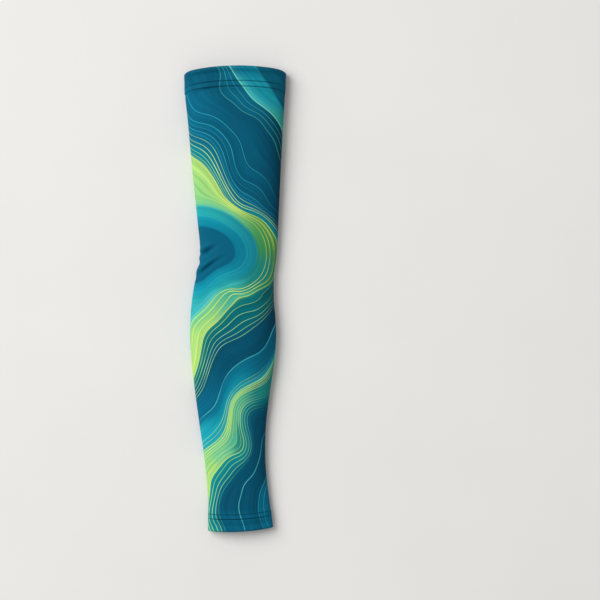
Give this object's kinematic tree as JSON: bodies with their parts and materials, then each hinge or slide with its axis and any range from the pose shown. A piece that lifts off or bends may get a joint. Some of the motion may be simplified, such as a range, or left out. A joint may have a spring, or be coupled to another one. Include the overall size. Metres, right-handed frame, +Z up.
{
  "type": "arm sleeve",
  "caption": "Pull-on stretch-knit arm sleeve: a tapered open tube with a turned, twin-stitched hem at the upper arm and at the wrist, creased at the elbow, lying flat.",
  "frame": {"origin": "on the table, under the middle of the sleeve's box", "axes": "+Y along the sleeve towards its upper-arm end, +X across it, +Z up from the table"},
  "size_m": [0.0962, 0.44, 0.0213],
  "materials": {
    "printed_knit": "smooth stretch knit, printed with flowing waves in navy, turquoise and lime",
    "hem_knit": "the same printed knit, turned in and sewn with two needle rows"
  },
  "bodies": {
    "root": {"sleeve_tube": "printed_knit", "upper_hem": "hem_knit", "wrist_hem": "hem_knit"}
  },
  "joints": []
}
